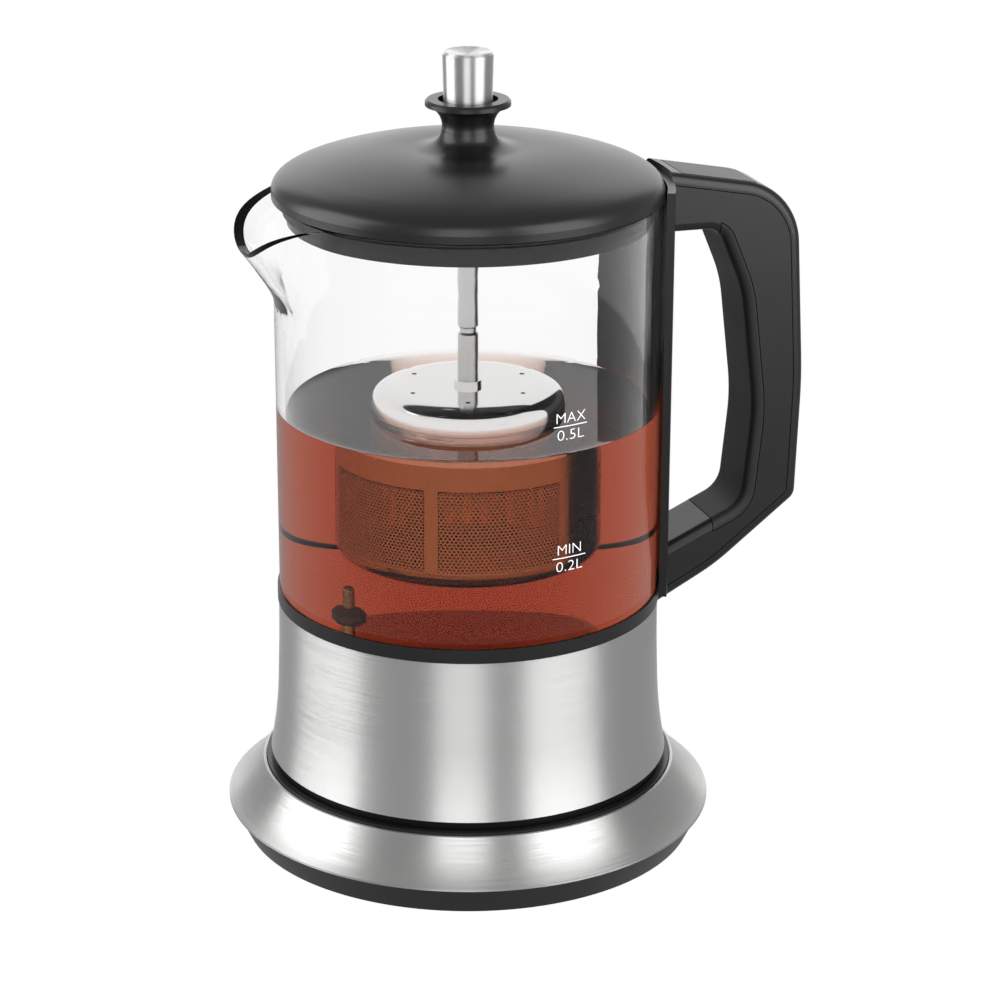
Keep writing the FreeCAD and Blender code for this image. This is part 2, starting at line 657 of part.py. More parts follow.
def make_handle():
    strap = wedge(STRAP_OUTER, STRAP_BOTTOM_Z, STRAP_TOP_Z, STRAP_HALF_ANGLE)
    strap = strap.cut(rod(STRAP_INNER, STRAP_BOTTOM_Z - 1, STRAP_TOP_Z + 1))
    lid_room = rod(LID_RADIUS + STRAP_GAP, LID_BOTTOM_Z - STRAP_GAP, STRAP_TOP_Z + 5)
    strap = strap.cut(lid_room)

    jug_room = rod(STRAP_INNER + FIT, 0, 250).fuse(rod(STRAP_OUTER + FIT, STRAP_BOTTOM_Z - FIT, 250))
    full = handle_slab(HANDLE_OUTLINE, 0, HANDLE_WIDTH).cut(handle_slab(HANDLE_WINDOW, 0, HANDLE_WIDTH + 2))
    full = rounded_sides(full.cut(jug_room))
    core = handle_slab(HANDLE_OUTLINE, COVER_THICKNESS, HANDLE_WIDTH + 4)
    cover = full.cut(core)
    grip_space = handle_slab(HANDLE_WINDOW, -GRIP_THICKNESS, HANDLE_WIDTH + 4)
    grip_x = STRAP_OUTER + 14
    grip = full.common(grip_space).cut(block(0, grip_x, -30, 30, 0, 300))
    body_space = handle_slab(HANDLE_OUTLINE, COVER_THICKNESS + SEAM_GAP, HANDLE_WIDTH + 4)
    grip_room = handle_slab(HANDLE_WINDOW, -GRIP_THICKNESS - SEAM_GAP, HANDLE_WIDTH + 6)
    body = full.common(body_space).cut(grip_room.cut(block(0, grip_x - SEAM_GAP, -30, 30, 0, 300)))
    wall = HANDLE_CORE_WALL
    hollow = handle_slab(HANDLE_OUTLINE, COVER_THICKNESS + wall, HANDLE_WIDTH - 2 * wall)
    hollow = hollow.cut(handle_slab(HANDLE_WINDOW, -GRIP_THICKNESS - wall, HANDLE_WIDTH + 4))
    hollow = hollow.cut(rod(STRAP_OUTER + wall, 0, 250))
    arm_end = STRAP_OUTER + TONGUE_LENGTH + 5
    hollow = hollow.cut(block(0, arm_end, -30, 30, 0, LOW_TONGUE[1] + 9))

    key_end = KEY_FRONT_X + KEY_LENGTH
    half = KEY_WIDTH / 2
    skin = full.cut(handle_slab(HANDLE_OUTLINE, KEY_THICKNESS, HANDLE_WIDTH + 4))
    key = skin.common(block(KEY_FRONT_X, key_end, -half, half, 150, 250))
    room = half + KEY_GAP
    pocket = block(KEY_FRONT_X - KEY_GAP, key_end + KEY_GAP, -room, room, SWITCH_TOP_Z, 250)
    pin_x = key_end - KEY_STEM
    (x0, z0, _), (x1, z1, _) = HANDLE_OUTLINE[:2]
    outline_z = z0 + (pin_x - x0) * (z1 - z0) / (x1 - x0)
    pin_z = outline_z - KEY_THICKNESS - KEY_PIN_DEPTH
    pin_end = HANDLE_WIDTH / 2 - 3
    across = Vector(0, 1, 0)
    pin = Part.makeCylinder(KEY_PIN_RADIUS, 2 * pin_end, Vector(pin_x, -pin_end, pin_z), across)
    ear = KEY_PIN_RADIUS * 2
    ears = block(pin_x - ear, key_end, -half, half, pin_z - ear, pin_z + ear + KEY_PIN_RADIUS)
    key = key.fuse(ears.common(block(pin_x - ear, key_end, 3 - half, half - 3, 150, 250)))
    stem_low = SWITCH_TOP_Z + PLUNGER_HEIGHT + PLUNGER_GAP
    stem = rod(KEY_STEM, stem_low, 187, KEY_STEM_X).common(handle_slab(HANDLE_OUTLINE, 0.5, HANDLE_WIDTH))
    key = key.fuse(stem).removeSplitter()
    pin_bore = Part.makeCylinder(KEY_PIN_RADIUS + FIT, 2 * pin_end, Vector(pin_x, -pin_end, pin_z), across)
    key = key.cut(pin_bore)
    ear_room = block(pin_x - ear - 0.5, key_end + KEY_GAP, -room, room, pin_z - ear - 0.5, 250)

    sx, sy, sz = SWITCH_SIZE
    switch = block(KEY_STEM_X - sx / 2, KEY_STEM_X + sx / 2, -sy / 2, sy / 2, SWITCH_TOP_Z - sz, SWITCH_TOP_Z)
    plunger = rod(KEY_STEM, SWITCH_TOP_Z - SWITCH_TRAVEL, SWITCH_TOP_Z + PLUNGER_HEIGHT, KEY_STEM_X)
    bore_low = SWITCH_TOP_Z - 2 * SWITCH_TRAVEL
    switch = switch.cut(rod(KEY_STEM + PLUNGER_PLAY, bore_low, SWITCH_TOP_Z + 1, KEY_STEM_X))
    switch_room = block(KEY_STEM_X - sx / 2, KEY_STEM_X + sx / 2, -sy / 2, sy / 2, SWITCH_TOP_Z - sz, 200)

    tongue_half = TONGUE_WIDTH / 2
    tongue_end = STRAP_OUTER + TONGUE_LENGTH
    levels = (LOW_TONGUE, HIGH_TONGUE)
    tongues = [block(STRAP_INNER + 0.5, tongue_end, -tongue_half, tongue_half, *z) for z in levels]
    sockets = [block(50, tongue_end + FIT, -tongue_half - FIT, tongue_half + FIT, z[0] - FIT, z[1] + FIT)
               for z in levels]
    low_head = LOW_TONGUE[0] - SCREW_HEAD * 2
    high_head = HIGH_TONGUE[1] + SCREW_HEAD * 2
    tip = LOW_TONGUE[1] - 0.4
    low_screw = rod(SCREW_HEAD_RADIUS, low_head, low_head + SCREW_HEAD, LOW_SCREW_X).fuse(
        rod(SCREW_RADIUS, low_head + SCREW_HEAD, tip, LOW_SCREW_X)
    )
    high_screw = rod(SCREW_HEAD_RADIUS, high_head - SCREW_HEAD, high_head, HIGH_SCREW_X).fuse(
        rod(SCREW_RADIUS, HIGH_TONGUE[0] + 0.4, high_head - SCREW_HEAD, HIGH_SCREW_X)
    )
    bores = [
        rod(SCREW_RADIUS + FIT, low_head, tip + FIT, LOW_SCREW_X),
        rod(SCREW_HEAD_RADIUS + FIT, low_head - 6, low_head + SCREW_HEAD, LOW_SCREW_X),
        rod(SCREW_RADIUS + FIT, HIGH_TONGUE[0] + 0.4 - FIT, high_head, HIGH_SCREW_X),
        rod(SCREW_HEAD_RADIUS + FIT, high_head - SCREW_HEAD, SWITCH_TOP_Z + 1, HIGH_SCREW_X),
    ]
    strap = strap.fuse(tongues).removeSplitter()
    body = body.cut(hollow.cut(switch_room)).cut(pocket).cut(ear_room).cut(switch_room)
    body = body.cut(Part.makeCompound(bores + sockets + [lead_hole()])).cut(pin)
    cover = cover.cut(pocket).cut(ear_room).cut(pin)

    save("handle_strap", strap.cut(Part.makeCompound(bores + [lead_hole()])))
    save("handle_body", *body.Solids)
    save("handle_cover", *cover.Solids)
    save("handle_grip", *grip.Solids)
    save("handle_screws", low_screw, high_screw)
    save("start_key", key)
    save("key_pin", pin)
    save("microswitch", switch)
    save("switch_plunger", plunger)
    print("key hinge", round(pin_x, 3), round(pin_z, 3))


# Lid

def make_lid():
    edge = [(LID_RADIUS, LID_BOTTOM_Z), (LID_RADIUS, LID_EDGE_Z)]
    dome = [edge[1]] + list(LID_DOME)
    under = [(r - LID_WALL * (0.9 if z < 193 else 0.25), z - LID_WALL) for r, z in LID_DOME]
    bore = BUSH_RADIUS + FIT
    inner_edge = LID_RADIUS - LID_WALL
    cover = turned_wire([
        line(edge[0], edge[1]), curve(dome), curve(LID_NECK), line(LID_NECK[-1], (bore, NECK_SEAM_Z)),
        line((bore, NECK_SEAM_Z), (bore, under[-1][1])), line((bore, under[-1][1]), under[-1]),
        curve(under[::-1]), line(under[0], (inner_edge, LID_BOTTOM_Z)),
        line((inner_edge, LID_BOTTOM_Z), edge[0]),
    ])
    floor_top = SKIRT_BOTTOM_Z + SKIRT_WALL
    post_top = under[3][1] + 1.2

    def post(x, y):
        return rod(SCREW_RADIUS * 2.3, floor_top, post_top, x, y)

    cover = cover.fuse(around(LID_SCREW_COUNT, LID_SCREW_CIRCLE, post, 90)).removeSplitter()
    tip = floor_top + LID_SCREW_REACH
    lid_screws = screws(LID_SCREW_COUNT, LID_SCREW_CIRCLE, SKIRT_BOTTOM_Z - SCREW_HEAD, tip, 90)
    mark_end = LID_RADIUS - 2
    half_mark = MARK_WIDTH / 2
    mark = block(mark_end - MARK_LENGTH, mark_end, -half_mark, half_mark, LID_EDGE_Z, NECK_SEAM_Z)
    mark.rotate(Vector(0, 0, 0), UP, MARK_ANGLE)
    sunk = cover.copy()
    sunk.translate(Vector(0, 0, -MARK_DEPTH))
    cover = cover.cut(mark.cut(sunk))
    skirt_top = LID_BOTTOM_Z + 3
    plug = turned([
        (bore, SKIRT_BOTTOM_Z), (SKIRT_RADIUS, SKIRT_BOTTOM_Z), (SKIRT_RADIUS, LID_GASKET_Z),
        (SKIRT_RADIUS - 0.8, LID_GASKET_Z), (SKIRT_RADIUS - 0.8, LID_GASKET_Z + LID_GASKET_HEIGHT),
        (SKIRT_RADIUS, LID_GASKET_Z + LID_GASKET_HEIGHT), (SKIRT_RADIUS, skirt_top),
        (SKIRT_RADIUS - SKIRT_WALL, skirt_top), (SKIRT_RADIUS - SKIRT_WALL, floor_top), (bore, floor_top),
    ])
    for x, y in around(LID_SCREW_COUNT, LID_SCREW_CIRCLE, lambda x, y: (x, y), 90):
        hole = rod(SCREW_RADIUS + FIT, SKIRT_BOTTOM_Z - 1, tip + 0.2, x, y)
        plug = plug.cut(hole)
        cover = cover.cut(hole)
    gasket = tube(GLASS_RADIUS - GLASS_WALL - GASKET_GLASS_GAP, SKIRT_RADIUS - 0.5, LID_GASKET_Z + 0.3,
                  LID_GASKET_Z + LID_GASKET_HEIGHT - 0.3)
    rod_bore = ROD_RADIUS + ROD_CLEARANCE
    bush = tube(BUSH_RADIUS, rod_bore, BUSH_BOTTOM_Z, NECK_SEAM_Z).fuse(
        tube(BUSH_RADIUS + 2, rod_bore, BUSH_BOTTOM_Z, SKIRT_BOTTOM_Z)
    ).removeSplitter()
    well = COLLAR_TOP_Z - COLLAR_WELL_DEPTH
    collar = turned_wire([
        line((rod_bore, NECK_SEAM_Z), COLLAR_NECK), curve(COLLAR_FLARE),
        line(COLLAR_EDGE, (COLLAR_RADIUS, COLLAR_TOP_Z - 0.6)),
        line((COLLAR_RADIUS, COLLAR_TOP_Z - 0.6), (COLLAR_RADIUS - 0.6, COLLAR_TOP_Z)),
        line((COLLAR_RADIUS - 0.6, COLLAR_TOP_Z), (COLLAR_WELL_RADIUS, COLLAR_TOP_Z)),
        line((COLLAR_WELL_RADIUS, COLLAR_TOP_Z), (COLLAR_WELL_RADIUS, well)),
        line((COLLAR_WELL_RADIUS, well), (rod_bore, well)), line((rod_bore, well), (rod_bore, NECK_SEAM_Z)),
    ])
    save("lid_cover", cover)
    save("lid_plug", plug)
    save("lid_gasket", gasket)
    save("lid_screws", *lid_screws)
    save("rod_bush", bush)
    save("lid_collar", collar)


# Rod, knob and infuser

def make_infuser():
    knob_low = COLLAR_TOP_Z - COLLAR_WELL_DEPTH + 0.3
    rod_top = KNOB_TOP_Z - 6
    edge = 0.6
    knob = turned([
        (0, knob_low), (KNOB_FOOT_RADIUS, knob_low), (KNOB_TOP_RADIUS, KNOB_TOP_Z - edge),
        (KNOB_TOP_RADIUS - edge, KNOB_TOP_Z), (0, KNOB_TOP_Z),
    ]).cut(rod(ROD_RADIUS + FIT, knob_low - 1, rod_top))
    dish_edge = KNOB_TOP_RADIUS - 2 * edge
    dish_radius = (dish_edge**2 + KNOB_DISH**2) / (2 * KNOB_DISH)
    knob = knob.cut(Part.makeSphere(dish_radius, Vector(0, 0, KNOB_TOP_Z - KNOB_DISH + dish_radius)))
    groove = ROD_RADIUS - ROD_GROOVE_DEPTH
    lift_rod = turned([
        (0, ROD_FOOT_Z), (ROD_RADIUS, ROD_FOOT_Z), (ROD_RADIUS, ROD_GROOVE_Z - 1.2),
        (groove, ROD_GROOVE_Z - 0.6), (groove, ROD_GROOVE_Z + 0.6), (ROD_RADIUS, ROD_GROOVE_Z + 1.2),
        (ROD_RADIUS, rod_top), (0, rod_top),
    ])
    top, rim, radius, sheet = INFUSER_LID_TOP_Z, INFUSER_LID_RIM_Z, INFUSER_RADIUS, INFUSER_SHEET

    def dome(inset):
        r, z = radius - inset, top - inset
        side = [(r, rim), (r, rim + 1.6)]
        turn = [(r - 0.25, rim + 4.0), (r - 1.1, rim + 6.1), (r - 2.9, rim + 7.3)]
        shoulder = [side[1]] + turn + [(INFUSER_LID_FLAT, z)]
        return side, shoulder

    (a, b), out = dome(0)
    (c, d), inn = dome(sheet)
    lid = turned_wire([
        line(a, b), curve(out), line(out[-1], (0, top)), line((0, top), (0, top - sheet)),
        line((0, top - sheet), inn[-1]), curve(inn[::-1]), line(d, c), line(c, a),
    ])
    bore_r = radius - BASKET_RIM_WALL
    skirt_out = bore_r - BASKET_CLEARANCE
    flange = tube(radius - sheet / 2, skirt_out - sheet, rim - sheet, rim + 0.2)
    skirt = tube(skirt_out, skirt_out - sheet, BASKET_RIM_Z + 1, rim)
    lug_z = BASKET_RIM_Z + 1.8
    lugs = []
    for i in range(LUG_COUNT):
        lug = wedge(skirt_out + BASKET_LUG, lug_z, lug_z + 1, 3).cut(rod(skirt_out - sheet / 2, 0, 300))
        lug.rotate(Vector(0, 0, 0), UP, 360 * i / LUG_COUNT)
        lugs.append(lug)
    vents = around(VENT_COUNT, VENT_CIRCLE, lambda x, y: rod(VENT_RADIUS, top - 2, top + 1, x, y), -108)
    hole = rod(ROD_RADIUS + FIT, rim, top + 1)
    lid = lid.fuse([flange, skirt] + lugs).cut(Part.makeCompound(vents)).cut(hole).removeSplitter()
    collar = tube(ROD_COLLAR_RADIUS, ROD_RADIUS + FIT, top, top + ROD_COLLAR_HEIGHT)
    nut = tube(ROD_COLLAR_RADIUS, ROD_RADIUS + FIT, top - sheet - 2.5, top - sheet)

    rim_top = rim - sheet - 0.3
    basket_rim = tube(radius, bore_r, BASKET_RIM_Z, rim_top)
    inside = rod(bore_r - 0.1, 0, 300)
    for i in range(LUG_COUNT):
        turn = 360 * i / LUG_COUNT
        slot = wedge(radius + 1, lug_z - 0.3, lug_z + 1.3, 4 + BASKET_TWIST_DEG / 2)
        slot.rotate(Vector(0, 0, 0), UP, turn - BASKET_TWIST_DEG / 2)
        entry = wedge(radius + 1, lug_z - 0.3, rim_top + 1, 4)
        entry.rotate(Vector(0, 0, 0), UP, turn - BASKET_TWIST_DEG)
        basket_rim = basket_rim.cut(slot.cut(inside)).cut(entry.cut(inside))
    low = BASKET_BOTTOM_Z
    round_ = BASKET_EDGE

    def cup(inset):
        r, z = radius - inset, low + inset
        e = round_ - inset
        corner = e * math.sqrt(0.5)
        return (r, BASKET_RIM_Z), (r, z + e), (r - e + corner, z + e - corner), (r - e, z), (0, z)

    o, i_ = cup(0), cup(sheet)
    basket = turned_wire([
        line(o[0], o[1]), arc(o[1], o[2], o[3]), line(o[3], o[4]), line(o[4], i_[4]), line(i_[4], i_[3]),
        arc(i_[3], i_[2], i_[1]), line(i_[1], i_[0]), line(i_[0], o[0]),
    ])
    holes = []
    for panel in range(MESH_PANELS):
        for row in range(MESH_ROWS):
            z = MESH_BOTTOM_Z + (MESH_TOP_Z - MESH_BOTTOM_Z) * row / (MESH_ROWS - 1)
            for column in range(MESH_COLUMNS):
                turn = panel * 360.0 / MESH_PANELS + (column / (MESH_COLUMNS - 1) - 0.5) * MESH_PANEL_ANGLE
                x, y = polar(1, turn)
                start = Vector(x * (radius - 2), y * (radius - 2), z)
                holes.append(Part.makeCylinder(MESH_HOLE_RADIUS, 4, start, Vector(x, y, 0)))
    basket = basket.cut(Part.makeCompound(holes))
    save("knob", knob)
    save("lift_rod", lift_rod)
    save("infuser_lid", lid)
    save("rod_collar", collar)
    save("rod_nut", nut)
    save("basket_rim", basket_rim)
    save("basket", basket)


make_base()
make_plug()
make_jug_body()
make_glass()
make_handle()
make_lid()
make_infuser()
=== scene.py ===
import json
import math

import bpy
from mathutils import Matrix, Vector


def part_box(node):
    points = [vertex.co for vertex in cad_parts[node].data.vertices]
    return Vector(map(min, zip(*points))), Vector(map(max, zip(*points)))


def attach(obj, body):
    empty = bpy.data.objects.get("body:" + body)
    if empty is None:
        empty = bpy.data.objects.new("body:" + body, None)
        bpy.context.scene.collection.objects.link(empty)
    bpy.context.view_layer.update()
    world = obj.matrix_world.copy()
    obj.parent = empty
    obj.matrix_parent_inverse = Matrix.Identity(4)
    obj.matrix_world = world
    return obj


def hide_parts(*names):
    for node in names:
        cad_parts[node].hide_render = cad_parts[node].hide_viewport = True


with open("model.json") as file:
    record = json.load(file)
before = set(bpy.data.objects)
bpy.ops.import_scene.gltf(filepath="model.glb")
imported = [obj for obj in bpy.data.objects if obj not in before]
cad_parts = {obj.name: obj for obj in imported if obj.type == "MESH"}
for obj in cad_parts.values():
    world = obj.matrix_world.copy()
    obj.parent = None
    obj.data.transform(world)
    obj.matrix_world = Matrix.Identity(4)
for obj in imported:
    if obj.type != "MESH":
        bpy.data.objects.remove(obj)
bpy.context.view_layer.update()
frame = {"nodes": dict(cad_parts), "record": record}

NODES = frame["nodes"]
INNER_GLASS_RADIUS = 0.051

bl_info = {
    "name": "Automatic tea maker",
    "version": (1, 0, 0),
    "blender": (4, 5, 0),
    "location": "View3D > Sidebar > Tea maker",
    "description": "Dresses a glass tea maker with tea, a perforated basket, printed marks and studio light",
    "category": "Object",
}

# The camera's bearing round the jug's axis; angles on the jug are given from where it looks
CAMERA_AZIMUTH = -18.0
CAMERA_ELEVATION = 19.74
CAMERA_DISTANCE = 0.905
CAMERA_AIM_HEIGHT = 0.09624
CAMERA_LENS = 115.5
CAMERA_SHIFT = 0.032


def node_radius(node):
    low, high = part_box(node)
    return (high.y - low.y) / 2


def facing(degrees):
    """The angle about +Z of a place that is so many degrees to the right of the camera's side."""
    return math.radians(CAMERA_AZIMUTH - 90.0 + degrees)


# Materials

def new_material(name, color, roughness, metallic=0.0, **sockets):
    """A principled material; further sockets are given by their names."""
    made = bpy.data.materials.new(name)
    made.use_nodes = True
    shader = made.node_tree.nodes["Principled BSDF"]
    shader.inputs["Base Color"].default_value = (*color, 1.0)
    shader.inputs["Roughness"].default_value = roughness
    shader.inputs["Metallic"].default_value = metallic
    for label, value in sockets.items():
        shader.inputs[label.replace("_", " ")].default_value = value
    return made, made.node_tree, shader


def object_noise(tree, scale, detail=2.0, stretch=(1.0, 1.0, 1.0)):
    """Noise on the piece's own coordinates, stretched along its axes."""
    place = tree.nodes.new("ShaderNodeTexCoord")
    mapping = tree.nodes.new("ShaderNodeMapping")
    mapping.inputs["Scale"].default_value = stretch
    noise = tree.nodes.new("ShaderNodeTexNoise")
    noise.inputs["Scale"].default_value = scale
    noise.inputs["Detail"].default_value = detail
    tree.links.new(place.outputs["Object"], mapping.inputs["Vector"])
    tree.links.new(mapping.outputs["Vector"], noise.inputs["Vector"])
    return noise.outputs["Fac"]


def vary(tree, value, low, high, socket):
    """Spreads a 0 to 1 value between low and high on a shader's socket."""
    spread = tree.nodes.new("ShaderNodeMapRange")
    spread.inputs["From Min"].default_value = 0.3
    spread.inputs["From Max"].default_value = 0.7
    spread.inputs["To Min"].default_value = low
    spread.inputs["To Max"].default_value = high
    tree.links.new(value, spread.inputs["Value"])
    tree.links.new(spread.outputs["Result"], socket)


def bump(tree, shader, value, strength, distance):
    node = tree.nodes.new("ShaderNodeBump")
    node.inputs["Strength"].default_value = strength
    node.inputs["Distance"].default_value = distance
    tree.links.new(value, node.inputs["Height"])
    tree.links.new(node.outputs["Normal"], shader.inputs["Normal"])


def brushed_steel(name, color, roughness):
    """Steel brushed round the jug's axis: the strokes run level, so the glints stand upright."""
    made, tree, shader = new_material(name, color, roughness, 1.0, Anisotropic=0.9, Anisotropic_Rotation=0.25)
    tangent = tree.nodes.new("ShaderNodeTangent")
    tangent.direction_type = "RADIAL"
    tangent.axis = "Z"
    tree.links.new(tangent.outputs["Tangent"], shader.inputs["Tangent"])
    strokes = object_noise(tree, 60.0, 3.0, (0.6, 0.6, 90.0))
    vary(tree, strokes, roughness * 0.8, roughness * 1.25, shader.inputs["Roughness"])
    bump(tree, shader, strokes, 0.12, 0.0002)
    return made


def polished_steel(name):
    made, tree, shader = new_material(name, (0.78, 0.77, 0.76), 0.07, 1.0)
    haze = object_noise(tree, 45.0, 4.0)
    vary(tree, haze, 0.04, 0.1, shader.inputs["Roughness"])
    return made


def satin_plastic(name, color, roughness, grain=0.06):
    """Moulded plastic with a fine spark-eroded grain."""
    made, tree, shader = new_material(name, color, roughness, 0.0, Specular_IOR_Level=0.5)
    fine = object_noise(tree, 2600.0, 2.0)
    bump(tree, shader, fine, grain, 0.0002)
    vary(tree, object_noise(tree, 30.0, 3.0), roughness * 0.93, roughness * 1.07, shader.inputs["Roughness"])
    return made


def absorb(tree, color, density):
    """Colours the light that passes through, the more so the longer its way."""
    depth = tree.nodes.new("ShaderNodeVolumeAbsorption")
    depth.inputs["Color"].default_value = (*color, 1.0)
    depth.inputs["Density"].default_value = density
    tree.links.new(depth.outputs["Volume"], tree.nodes["Material Output"].inputs["Volume"])


def clear_glass():
    made, tree, shader = new_material(
        "clear_glass", (1.0, 1.0, 1.0), 0.0, 0.0,
        Transmission_Weight=1.0, IOR=1.47, Specular_Tint=(0.3, 0.3, 0.3, 1))
    haze = object_noise(tree, 18.0, 2.0)
    vary(tree, haze, 0.0, 0.008, shader.inputs["Roughness"])
    absorb(tree, (0.72, 0.76, 0.75), 16.0)
    return made


def tea_liquid(absorbed, density):
    made, tree, shader = new_material(
        "tea", (1.0, 1.0, 1.0), 0.0, 0.0,
        Transmission_Weight=1.0, IOR=1.333, Specular_Tint=(0.1, 0.1, 0.1, 1))
    absorb(tree, absorbed, density)
    ripple = object_noise(tree, 40.0, 1.0)
    bump(tree, shader, ripple, 0.02, 0.0003)
    return made


def plain(name, color, roughness, metallic=0.0, grain=400.0):
    made, tree, shader = new_material(name, color, roughness, metallic)
    texture = object_noise(tree, grain, 3.0)
    bump(tree, shader, texture, 0.08, 0.0002)
    vary(tree, texture, roughness * 0.85, min(roughness * 1.15, 1.0), shader.inputs["Roughness"])
    return made


def make_finishes():
    """One material for each slot of the record."""
    return {
        "black_plastic": satin_plastic("satin_black", (0.006, 0.006, 0.0065), 0.31),
        "gloss_black": satin_plastic("key_black", (0.006, 0.006, 0.0065), 0.4, 0.02),
        "rubber": plain("rubber", (0.03, 0.03, 0.03), 0.75),
        "silicone": plain("silicone", (0.012, 0.012, 0.013), 0.5),
        "screw_steel": plain("zinc_steel", (0.55, 0.55, 0.56), 0.35, 1.0),
        "brushed_steel": brushed_steel("brushed_steel", (0.64, 0.64, 0.635), 0.38),
        "polished_steel": polished_steel("polished_steel"),
        "brass": plain("brass", (0.78, 0.57, 0.27), 0.3, 1.0),
        "lead": plain("lead", (0.35, 0.05, 0.04), 0.5),
        "aluminium": plain("aluminium", (0.72, 0.72, 0.73), 0.45, 1.0),
        "ceramic_white": plain("off_white", (0.85, 0.83, 0.78), 0.4),
        "board": plain("circuit_board", (0.05, 0.22, 0.1), 0.4),
        "glass": clear_glass(),
    }


def dress_nodes(finishes):
    special = {
        "handle_grip": satin_plastic("soft_black", (0.005, 0.005, 0.0055), 0.55),
        "lift_rod": plain("satin_rod", (0.6, 0.595, 0.59), 0.32, 1.0, 60.0),
        # The ring gets a darker copy of the body's brushed steel: painted shade that tones down its
        # highlights
        "base_cover_ring": brushed_steel("ring_steel_painted_shade", (0.54, 0.54, 0.535), 0.38),
        "heater_plate": plain("floor_steel", (0.72, 0.7, 0.67), 0.16, 1.0, 60.0),
        "temperature_probe": plain("probe_steel", (0.3, 0.24, 0.17), 0.25, 1.0),
        "probe_seal": plain("brown_silicone", (0.07, 0.035, 0.018), 0.45),
    }
    for part in frame["record"]["subparts"]:
        node = NODES[part["node"]]
        node.data.materials.clear()
        node.data.materials.append(special.get(part["node"], finishes[part["material_slot"]]))


# Modelling helpers

def clear_selection():
    if bpy.context.object and bpy.context.object.mode != "OBJECT":
        bpy.ops.object.mode_set(mode="OBJECT")
    bpy.ops.object.select_all(action="DESELECT")


def finish_piece(piece, name, material, body, sharp=35.0):
    """Names a piece, applies its place, shades it and lets it ride on its body."""
    clear_selection()
    piece.select_set(True)
    bpy.context.view_layer.objects.active = piece
    bpy.ops.object.transform_apply(location=True, rotation=True, scale=True)
    bpy.ops.object.shade_smooth_by_angle(angle=math.radians(sharp))
    piece.name = name
    piece.data.name = name
    piece.data.materials.clear()
    piece.data.materials.append(material)
    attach(piece, body)
    return piece


def apply_modifier(piece, kind, **settings):
    bpy.context.view_layer.objects.active = piece
    added = piece.modifiers.new(kind.lower(), kind)
    for label, value in settings.items():
        setattr(added, label, value)
    bpy.ops.object.modifier_apply(modifier=added.name)


def select_vertices(piece, chosen):
    bpy.ops.object.mode_set(mode="OBJECT")
    for vertex in piece.data.vertices:
        vertex.select = chosen(vertex.co)
    for edge in piece.data.edges:
        edge.select = all(piece.data.vertices[i].select for i in edge.vertices)
    for face in piece.data.polygons:
        face.select = all(piece.data.vertices[i].select for i in face.vertices)
    bpy.ops.object.mode_set(mode="EDIT")


def bend_round(piece, width, radius):
    """Bends a flat piece that lies in the XZ plane round an upright axis, facing outwards, and centres it."""
    apply_modifier(piece, "SIMPLE_DEFORM", deform_method="BEND", deform_axis="Z", angle=width / radius)
    side = sum((v.co.y for v in piece.data.vertices)) / len(piece.data.vertices)
    near = min if side > 0 else max
    edge = near(v.co.y for v in piece.data.vertices)
    clear_selection()
    piece.select_set(True)
    bpy.context.view_layer.objects.active = piece
    bpy.ops.transform.translate(value=(0.0, -radius - edge, 0.0))
    bpy.ops.object.transform_apply(location=True, rotation=True, scale=True)
    if side < 0:
        raise RuntimeError("the piece bent the wrong way")


def turn_about_axis(piece, angle):
    clear_selection()
    piece.select_set(True)
    bpy.context.view_layer.objects.active = piece
    piece.rotation_euler = (0.0, 0.0, angle)
    bpy.ops.object.transform_apply(location=True, rotation=True, scale=True)


def joined(pieces):
    clear_selection()
    for piece in pieces:
        piece.select_set(True)
    bpy.context.view_layer.objects.active = pieces[0]
    bpy.ops.object.join()
    return pieces[0]


# Tea

# How wide each ring of the surface is at the glass, and how much of the rise it drops
MENISCUS_RINGS = ((0.0007, 0.6), (0.0012, 0.3), (0.0022, 0.1))
TEA_FLOOR_GAP = 0.00002


class TeaSizes(bpy.types.PropertyGroup):
    level: bpy.props.FloatProperty(
        name="Level", description="Height of the tea's surface", default=0.1255, unit="LENGTH")
    wetting: bpy.props.FloatProperty(
        name="Wetting", description="How far the tea reaches into the glass", default=0.00004, unit="LENGTH")
    meniscus: bpy.props.FloatProperty(
        name="Meniscus", description="Rise of the tea at the glass", default=0.0006, unit="LENGTH")
    color: bpy.props.FloatVectorProperty(
        name="Colour", description="What the tea lets through", default=(0.733, 0.267, 0.045),
        subtype="COLOR")
    density: bpy.props.FloatProperty(
        name="Density", description="How strongly the tea colours what lies behind it", default=45.0)


class MakeTea(bpy.types.Operator):
    """Fills the glass with tea up to its level, with a small rise at the wall"""

    bl_idname = "tea_maker.tea"
    bl_label = "Tea"

    def execute(self, context):
        sizes = context.scene.tea_sizes
        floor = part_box("heater_plate")[1].z + TEA_FLOOR_GAP
        radius = INNER_GLASS_RADIUS + sizes.wetting
        height = sizes.level - floor
        clear_selection()
        bpy.ops.mesh.primitive_cylinder_add(
            vertices=160, radius=radius, depth=height, end_fill_type="NGON",
            location=(0, 0, floor + height / 2))
        tea = context.object
        bpy.ops.object.transform_apply(location=True, rotation=True, scale=True)
        top = sizes.level - 1e-6
        select_vertices(tea, lambda co: co.z > top)
        for width, drop in MENISCUS_RINGS:
            bpy.ops.mesh.inset(thickness=width)
            bpy.ops.transform.translate(value=(0, 0, -sizes.meniscus * drop))
        bpy.ops.object.mode_set(mode="OBJECT")
        finish_piece(tea, "tea_fill", tea_liquid(sizes.color, sizes.density), "jug", 60.0)
        return {"FINISHED"}


# Basket

BAND_LAP = 0.0004
BAND_LAP_ANGLE = 0.02
STRIP_STEP_DEGREES = 3


